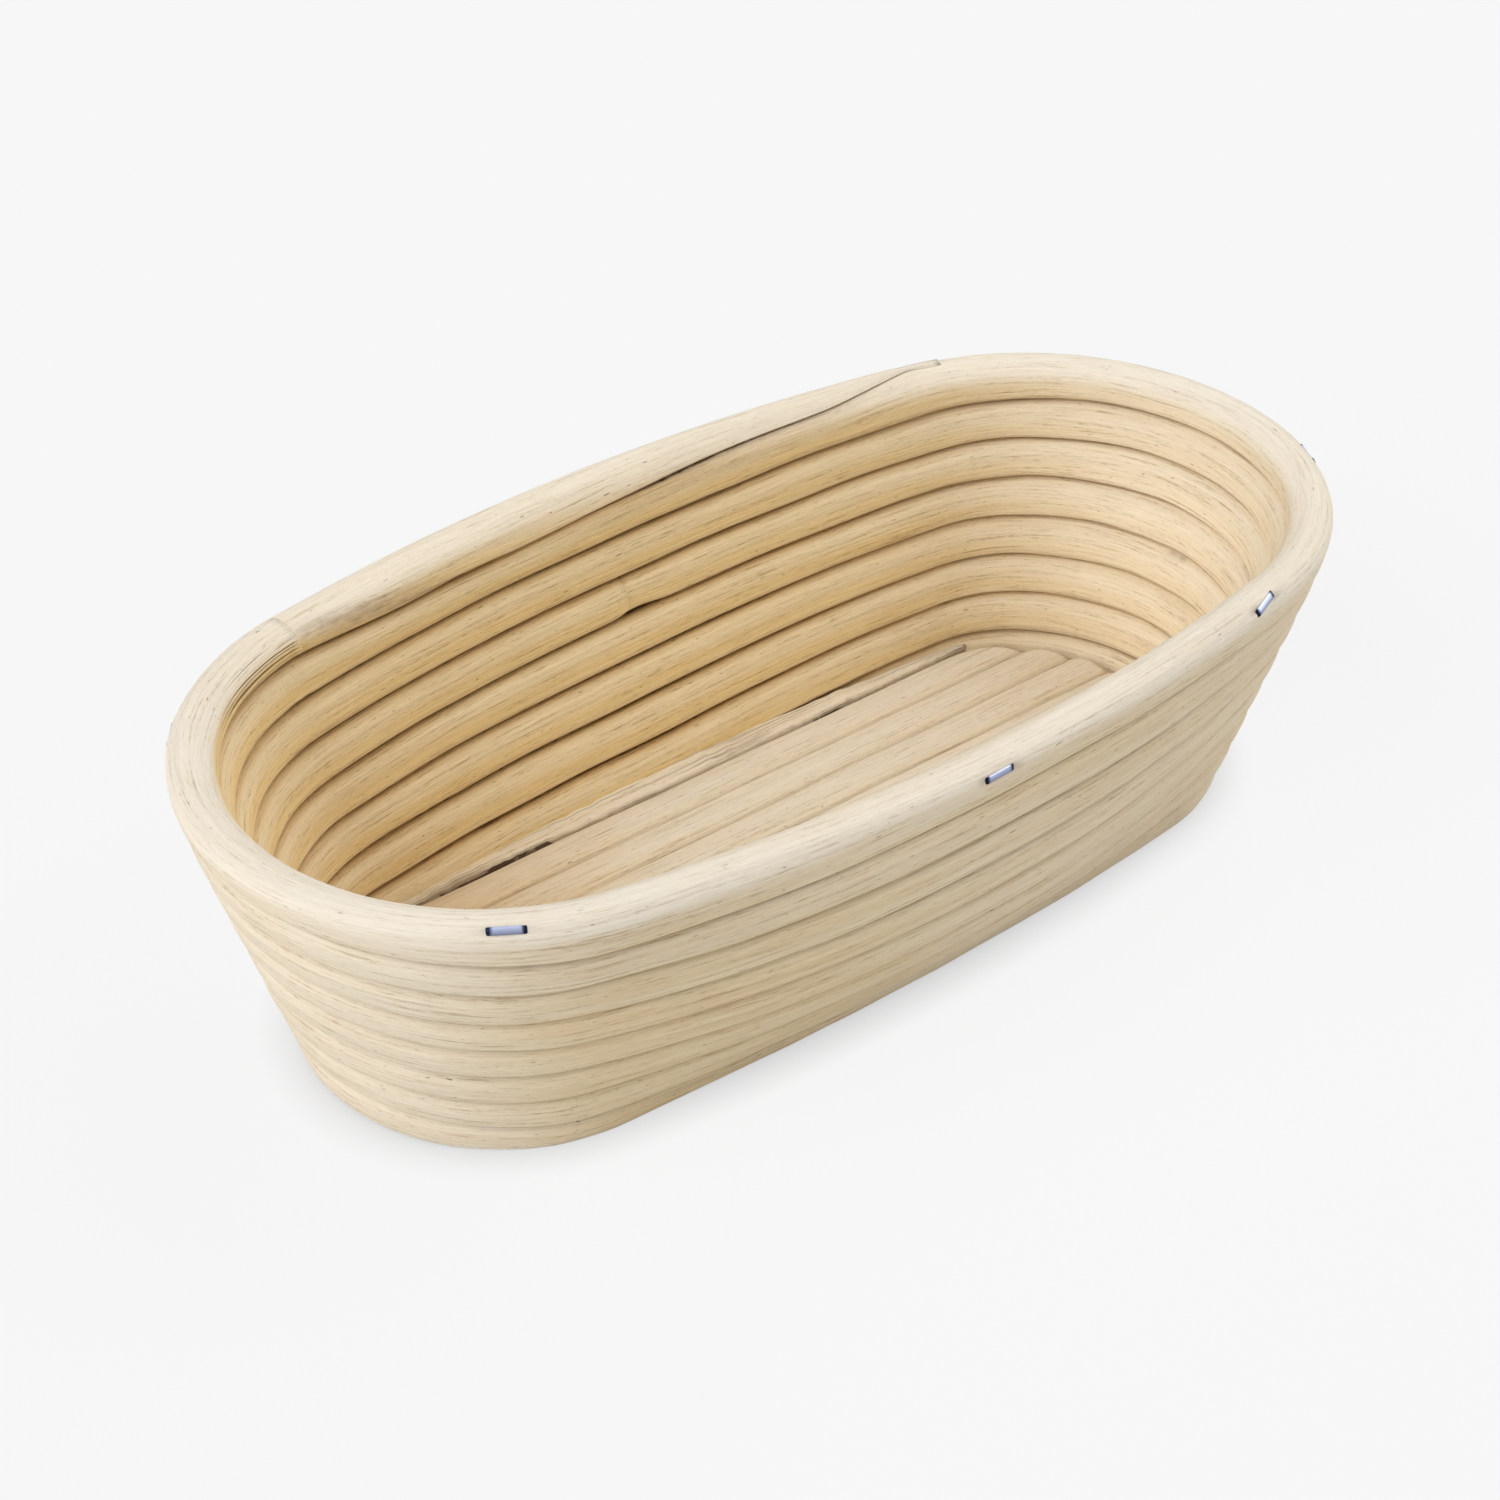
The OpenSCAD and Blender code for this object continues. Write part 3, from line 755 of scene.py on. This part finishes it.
class BASKET_OT_floor_slats(bpy.types.Operator):
    """Lays the straight floor canes"""

    bl_idname = "basket.floor_slats"
    bl_label = "Floor Canes"

    def execute(self, context):
        s = sizes()
        oval = Oval()
        material = rattan(*FLOOR_CANE)
        y_share, z_share = slat_section()
        pitch = (s.slat_width + s.slat_gap) / MM
        radius = oval.foot_radius - s.cane_width / MM - s.floor_gap / MM
        fine = np.linspace(0, SLAT_END, 7)
        steps = np.r_[fine[:-1] - 1, np.linspace(SLAT_END - 1, 1 - SLAT_END, 90), 1 - fine[::-1][1:]]
        end = np.clip((np.abs(steps) - 1 + SLAT_ROUND) / SLAT_ROUND, 0, 1)[:, None]
        droop = 1 - 0.3 * end ** 2 * (z_share[None, :] > 0.4)
        # painted shade: the sides of each floor cane are painted dark, and a golden band runs along its
        # lower side
        side = np.where(np.abs(y_share) > 0.999, 0.8, np.clip((np.abs(y_share) - 0.8) / 0.2, 0, 1) * 0.5)
        edge = bell(y_share, -0.78, 0.2) * (z_share > 0.5)
        for k, node in enumerate(SLATS):
            centre = (k - (len(SLATS) - 1) / 2) * pitch
            half = (pitch / 2 - 0.02) * (1 + ripple(steps * 4, 50 + k, ((0.4, 1.2), (2, 4)), 0.005))
            y = centre + half[:, None] * y_share[None, :]
            reach = oval.end + np.sqrt(np.maximum(radius ** 2 - y ** 2, 25))
            sag = 1 + ripple(steps * 3, 70 + k, ((0.4, 1.0),), 0.012)[:, None]
            z = np.clip(z_share[None, :] * droop * sag, 0.035, 1) * s.slat_height / MM
            # the lower half of each end reaches out to the leaning wall
            toe = (s.floor_gap / MM + oval.end_radius(z) - oval.foot_radius + 0.2) * (z_share[None, :] < 0.4)
            x = steps[:, None] * (reach * (1 - 0.012 * end * z_share[None, :]) + toe * smooth(0.5, 0.9, end))
            points = np.stack([x, y, z], -1)
            along, around = arc_lengths(points)
            uv = cane_uv(along / 10 + SLAT_PATTERN + SLAT_PATTERN_STEP * k, around)
            zero = np.zeros_like(x)
            # painted shadow: towards the left end the floor cane is painted darker, browner and less cream,
            # where the left wall shades it
            wall_shadow = smooth(0, WALL_SHADOW_LENGTH, -x)
            gold_and_shade = np.clip(0.8 * edge[None, :] + 0.6 * end + 0.5 * wall_shadow, 0, 1)
            near = np.maximum(side[None, :], 0.55 * wall_shadow)
            chip = 0.35 * end ** 4 + zero
            tones = np.stack([near, 0.9 * wall_shadow, 0.3 * (1 - wall_shadow), chip, zero, zero, gold_and_shade, zero], -1)
            piece = sheet_mesh(f"floor_cane_{k + 1}", points, uv, tones)
            dress(piece, material, "rattan_floor", node)
        return {"FINISHED"}


class BASKET_OT_edge_strips(bpy.types.Operator):
    """Wedges the split canes between the outer floor canes and the wall"""

    bl_idname = "basket.edge_strips"
    bl_label = "Floor Edge Strips"

    def execute(self, context):
        s = sizes()
        winding = Winding()
        oval = winding.oval
        material = rattan(*FLOOR_CANE)
        inner = len(SLATS) * (s.slat_width + s.slat_gap) / 2 / MM + 0.2
        level = s.slat_height / MM - 0.4
        thick = s.strip_thickness / MM
        inset = s.cane_width / MM - 0.3
        end_radius = oval.end_radius(level)
        x = np.linspace(STRIP_FROM, STRIP_TO, 150)
        ring = np.linspace(0, TURN, 21)
        cos, sin = np.cos(ring), np.sin(ring)
        box_y, box_z = np.sign(cos) * np.abs(cos) ** 0.6, np.sign(sin) * np.abs(sin) ** 0.6
        for side, name, bow in ((1, "back", oval.back_bow), (-1, "front", oval.front_bow)):
            side_radius, _, side_centre = oval.side(level, bow)
            wall = np.where(
                np.abs(x) < oval.end,
                side_centre + np.sqrt((side_radius - inset) ** 2 - x ** 2),
                np.sqrt(np.maximum((end_radius - inset) ** 2 - (np.abs(x) - oval.end) ** 2, 0)),
            )
            ragged = ripple(x, 90 + side, ((0.02, 0.06), (0.1, 0.3)), 0.22)
            wedge = WEDGE * hump(x, -96, -48, -43, -40) * (side > 0)
            slit = SLIT * hump(x, 36, 42, 48, 54) * (side > 0)
            near = inner + wedge + slit + np.abs(ragged)
            far = np.maximum(wall - 0.15, near + 0.5)
            face = np.where(sin[None, :] < -0.2, inner + 0.1, near[:, None])
            y = (face + far[:, None]) / 2 + (far[:, None] - face) / 2 * box_y[None, :]
            top = level - 0.3 + ripple(x, 95 + side, ((0.02, 0.05), (0.1, 0.2)), 0.12)
            z = (top - thick / 2)[:, None] + thick / 2 * box_z[None, :]
            points = np.stack([np.broadcast_to(x[:, None], y.shape), side * y, z], -1)
            if side < 0:
                points = points[:, ::-1]
            along, around = arc_lengths(points)
            uv = cane_uv(along / 10 + STRIP_PATTERN + STRIP_PATTERN_STEP * side, around)
            zero = np.zeros_like(y)
            edge = np.clip((np.abs(box_y) - 0.8) / 0.2, 0, 1)[None, :] + zero
            # painted shade: the open gaps and the strip's sides are painted dark, and the darkening of the
            # gaps tapers to nothing beside the floor cane
            depth = (1 - box_z)[None, :] * thick / 2
            dark_from = (2.4 - 4.2 * wedge - 5.5 * slit)[:, None]
            gap = smooth(dark_from, dark_from + 0.3, depth) * smooth(0, 0.05, wedge + slit)[:, None]
            groove = np.maximum(0.7 * edge, gap * (box_y < -0.6)[None, :])
            # painted shadow of the left wall, as on the floor canes
            wall_shadow = smooth(0, WALL_SHADOW_LENGTH, -x)[:, None] + zero
            split, gold_and_shade = 0.35 + zero, 0.3 + zero
            tones = np.stack([groove, 0.6 * wall_shadow, 0.2 * (1 - wall_shadow), 0.2 * edge, split, zero, gold_and_shade, zero], -1)
            piece = sheet_mesh(f"edge_strip_{name}", points, uv, tones)
            dress(piece, material, "rattan_floor", f"floor_edge_strip_{name}")
        return {"FINISHED"}


# turn, angle round the section and skew to the cane of each rim staple
RIM_STAPLES = (
    (7.3125, 0.30, 0.0),
    (7.4145, 0.70, 0.05),
    (7.5145, 0.80, 0.24),
    (7.6325, 0.34, 0.05),
    (7.7832, 0.84, 0.0),
    (7.9375, 0.30, -0.04),
    (8.0625, 0.30, 0.03),
)
# how far the ends of a staple dive into the cane, in metres
STAPLE_BEND = 0.001
# length in turns, width in radians and depth of the dent round a staple; the dent is cut, and painted dark
# for its shade
STAPLE_DENT_AND_SHADE = (0.0078, 0.2, 0.5)


def wire_staple(group, crown, sink, where):
    """Adds the crown of one flat wire staple to a group, with its ends bent down into the cane."""
    s = sizes()
    bm = bmesh.new()
    layer = bm.verts.layers.float_color.new("tone")
    bmesh.ops.create_cube(bm, size=1)
    bmesh.ops.scale(bm, verts=bm.verts, vec=(crown, s.staple_thickness, s.staple_width))
    long_edges = [e for e in bm.edges if abs(e.verts[0].co.x - e.verts[1].co.x) > crown / 2]
    bmesh.ops.subdivide_edges(bm, edges=long_edges, cuts=24, use_grid_fill=True)
    sharp = [e for e in bm.edges if e.calc_face_angle() > 1]
    bmesh.ops.bevel(
        bm, geom=sharp, offset=s.staple_thickness * 0.3, offset_type="OFFSET", segments=2, profile=0.5,
        affect="EDGES", material=-1,
    )
    for v in bm.verts:
        along = abs(v.co.x) / (crown / 2)
        # painted shadow: the wire's lower edge is painted dark; its ends darken where they dive into the
        # cane
        dark = max(smooth(0.58, 0.74, along), 0.6 * smooth(0.2, 0.45, -v.co.z / s.staple_width))
        v.co.y -= sink + STAPLE_BEND * smooth(0.78, 1.1, along)
        v.co.z *= 1 - 0.4 * smooth(0.86, 1.05, along)
        v[layer] = (dark, 0, 0, 1)
    bmesh.ops.transform(bm, matrix=where, verts=bm.verts)
    single = bpy.data.meshes.new("staple")
    bm.to_mesh(single)
    bm.free()
    group.from_mesh(single)
    bpy.data.meshes.remove(single)


def staple_piece(name, bm, node):
    """Finishes a group of staples."""
    bmesh.ops.recalc_face_normals(bm, faces=bm.faces)
    piece = mesh_object(name, bm)
    piece.data.shade_smooth()
    dress(piece, staple_steel(), "steel_wire", node)


class BASKET_OT_rim_staples(bpy.types.Operator):
    """Drives the flat wire staples into the outside of the rim"""

    bl_idname = "basket.rim_staples"
    bl_label = "Rim Staples"

    def execute(self, context):
        s = sizes()
        winding = Winding()
        bm = bmesh.new()
        for turn, angle, skew in RIM_STAPLES:
            step = np.array([-1.0, 0.0, 1.0])
            theta = np.r_[angle + 0.05 * step, section_angles()]
            ring = winding.surface(turn + 0.002 * step[:, None] + 0 * theta[None, :], theta)[0]
            along = Vector(ring[2, 1] - ring[0, 1]).normalized()
            outward = Vector(ring[1, 2] - ring[1, 0]).cross(along).normalized()
            up = along.cross(outward)
            turned = Matrix((along, outward, up)).transposed().to_4x4()
            where = Matrix.Translation(Vector(ring[1, 1]) * MM) @ turned @ Matrix.Rotation(skew, 4, "Y")
            wire_staple(bm, s.staple_crown, s.staple_thickness * 0.4, where)
        staple_piece("rim_staples_wire", bm, "rim_staples")
        return {"FINISHED"}


class BASKET_OT_hidden_staples(bpy.types.Operator):
    """Lays the staples under the floor, and gives those inside the wall their steel"""

    bl_idname = "basket.hidden_staples"
    bl_label = "Hidden Staples"

    def execute(self, context):
        s = sizes()
        oval = Oval()
        radius = oval.foot_radius - s.cane_width / MM - 1.2
        turned = Matrix(((1, 0, 0), (0, 0, -1), (0, 1, 0))).transposed().to_4x4()
        bm = bmesh.new()
        for k in range(len(SLATS)):
            y = (k - (len(SLATS) - 1) / 2) * (s.slat_width + s.slat_gap) / MM
            reach = oval.end + math.sqrt(radius ** 2 - y ** 2)
            for x in (-reach, reach):
                place = Vector((x * MM, y * MM, s.staple_thickness / 2))
                wire_staple(bm, s.floor_crown, 0, Matrix.Translation(place) @ turned)
        staple_piece("floor_staples_wire", bm, "floor_staples")
        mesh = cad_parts["wall_staples"].data
        mesh.materials.clear()
        mesh.materials.append(staple_steel())
        return {"FINISHED"}


# part of the seen paper that is even white, while the rest shows the lamps and shadows
GLOW_SHARE = 0.92
# the foot's own soft shade on the paper: its reach in metres, and its power
CONTACT_REACH, CONTACT_POWER = 0.010, 0.24
# half size of the studio floor, and its depth under the foot, in metres
FLOOR_HALF, FLOOR_DROP = 6, 0.0002
AIR_COLOUR, AIR_STRENGTH = (0.96, 0.98, 1.0), 0.06
# where each lamp stands, its strength and its colour
LAMPS = {
    "key_lamp": ((-1.0, 0.0, 0.7), 2.6, (1.0, 0.99, 0.97)),
    "right_lamp": ((0.9, 0.1, 0.8), 1.38, (1.0, 1.0, 1.0)),
    "front_lamp": ((0.7, -0.7, 0.6), 1.0, (1.0, 1.0, 1.0)),
}
LAMP_ANGLE = math.radians(60)
# the camera stands where the photograph's outline and rim fit best: its angles, then its place
# to the right, up and back in millimetres, then its focal length and picture width in pixels
CAMERA_AZIMUTH, CAMERA_ELEVATION = math.radians(-39.054), math.radians(35.336)
CAMERA_PLACE = (-7.962, 29.178, 724.352)
FOCAL_PIXELS, PICTURE_PIXELS, SENSOR_WIDTH = 2997.737, 1500, 36


def seen_directly(tree):
    """Mask that is 1 for the camera's own rays and after a reflection or refraction."""
    path = add(tree, "ShaderNodeLightPath").outputs
    seen = path["Is Camera Ray"]
    for ray in ("Is Glossy Ray", "Is Transmission Ray"):
        seen = add(tree, "ShaderNodeMath", {0: seen, 1: path[ray]}, operation="MAXIMUM").outputs["Value"]
    return seen


def studio_paper():
    """Matt paper that looks an even white, with a soft shade at the basket's foot."""
    material, tree = new_material("matt_studio_paper")
    if tree is None:
        return material
    c = colours()
    share = add(tree, "ShaderNodeMath", {0: seen_directly(tree)}, {1: GLOW_SHARE}, operation="MULTIPLY")
    paper = add(tree, "ShaderNodeBsdfDiffuse", values={"Color": (*c.floor_paper, 1)})
    contact = add(tree, "ShaderNodeAmbientOcclusion", values={"Distance": CONTACT_REACH}, samples=16)
    contact = add(tree, "ShaderNodeMath", {0: contact.outputs["AO"]}, {1: CONTACT_POWER}, operation="POWER")
    glow = add(
        tree, "ShaderNodeEmission", {"Strength": contact.outputs["Value"]}, {"Color": (*c.floor_white, 1)}
    )
    both = add(
        tree, "ShaderNodeMixShader",
        {0: share.outputs["Value"], 1: paper.outputs["BSDF"], 2: glow.outputs["Emission"]},
    )
    add(tree, "ShaderNodeOutputMaterial", {"Surface": both.outputs["Shader"]})
    return material


def studio_floor():
    """The floor under the basket."""
    bm = bmesh.new()
    bmesh.ops.create_grid(bm, x_segments=1, y_segments=1, size=FLOOR_HALF)
    floor = mesh_object("studio_floor", bm)
    floor.location.z = -FLOOR_DROP
    floor.data.materials.append(studio_paper())


def studio_air(scene):
    """The world: a weak light from all sides that looks as white as the paper."""
    world = scene.world or bpy.data.worlds.new("studio_air")
    scene.world = world
    world.use_nodes = True
    tree = world.node_tree
    tree.nodes.clear()
    air = add(tree, "ShaderNodeBackground", values={"Color": (*AIR_COLOUR, 1), "Strength": AIR_STRENGTH})
    backdrop = add(tree, "ShaderNodeBackground", values={"Color": (*colours().floor_white, 1)})
    both = add(
        tree, "ShaderNodeMixShader",
        {0: seen_directly(tree), 1: air.outputs["Background"], 2: backdrop.outputs["Background"]},
    )
    add(tree, "ShaderNodeOutputWorld", {"Surface": both.outputs["Shader"]})


def studio_lamps(scene):
    """Wide soft lamps."""
    for name, (towards, strength, tint) in LAMPS.items():
        lamp = bpy.data.lights.new(name, "SUN")
        lamp.energy, lamp.angle, lamp.color = strength, LAMP_ANGLE, tint
        lamp_object = bpy.data.objects.new(name, lamp)
        lamp_object.rotation_euler = Vector(towards).to_track_quat("Z", "Y").to_euler()
        scene.collection.objects.link(lamp_object)


def photo_camera(scene):
    """The camera of the photograph."""
    level = math.cos(CAMERA_ELEVATION)
    back = Vector((
        math.sin(CAMERA_AZIMUTH) * level, -math.cos(CAMERA_AZIMUTH) * level, math.sin(CAMERA_ELEVATION)
    ))
    right = Vector((math.cos(CAMERA_AZIMUTH), math.sin(CAMERA_AZIMUTH), 0))
    turned = Matrix((right, back.cross(right), back)).transposed()
    lens = bpy.data.cameras.new("photo_camera")
    lens.lens = FOCAL_PIXELS / PICTURE_PIXELS * SENSOR_WIDTH
    lens.sensor_width = SENSOR_WIDTH
    lens.clip_start, lens.clip_end = 0.01, 20
    camera = bpy.data.objects.new("photo_camera", lens)
    camera.matrix_world = Matrix.Translation(turned @ Vector(CAMERA_PLACE) * MM) @ turned.to_4x4()
    scene.collection.objects.link(camera)
    scene.camera = camera


class BASKET_OT_stage(bpy.types.Operator):
    """Sets the pale floor, the lamps and the camera"""

    bl_idname = "basket.stage"
    bl_label = "Studio"

    def execute(self, context):
        scene = context.scene
        scene.view_settings.view_transform = "Standard"
        studio_floor()
        studio_air(scene)
        studio_lamps(scene)
        photo_camera(scene)
        return {"FINISHED"}


STEPS = (
    BASKET_OT_stage,
    BASKET_OT_wall_canes,
    BASKET_OT_closing_strip,
    BASKET_OT_floor_slats,
    BASKET_OT_edge_strips,
    BASKET_OT_rim_staples,
    BASKET_OT_hidden_staples,
)


class BASKET_PT_panel(bpy.types.Panel):
    """Lists the basket's pieces, sizes and colours"""

    bl_idname = "BASKET_PT_panel"
    bl_label = "Proofing Basket"
    bl_space_type = "VIEW_3D"
    bl_region_type = "UI"
    bl_category = "Basket"

    def draw(self, context):
        for step in STEPS:
            self.layout.operator(step.bl_idname)
        for group in (context.scene.basket_sizes, context.scene.basket_colours):
            box = self.layout.box()
            for key in group.__annotations__:
                box.prop(group, key)


CLASSES = (BasketSizes, BasketColours, *STEPS, BASKET_PT_panel)


def register():
    for cls in CLASSES:
        bpy.utils.register_class(cls)
    bpy.types.Scene.basket_sizes = PointerProperty(type=BasketSizes)
    bpy.types.Scene.basket_colours = PointerProperty(type=BasketColours)


def unregister():
    del bpy.types.Scene.basket_colours
    del bpy.types.Scene.basket_sizes
    for cls in reversed(CLASSES):
        bpy.utils.unregister_class(cls)


def main():
    register()
    for step in STEPS:
        group, name = step.bl_idname.split(".")
        getattr(getattr(bpy.ops, group), name)()


if __name__ == "__main__":
    main()
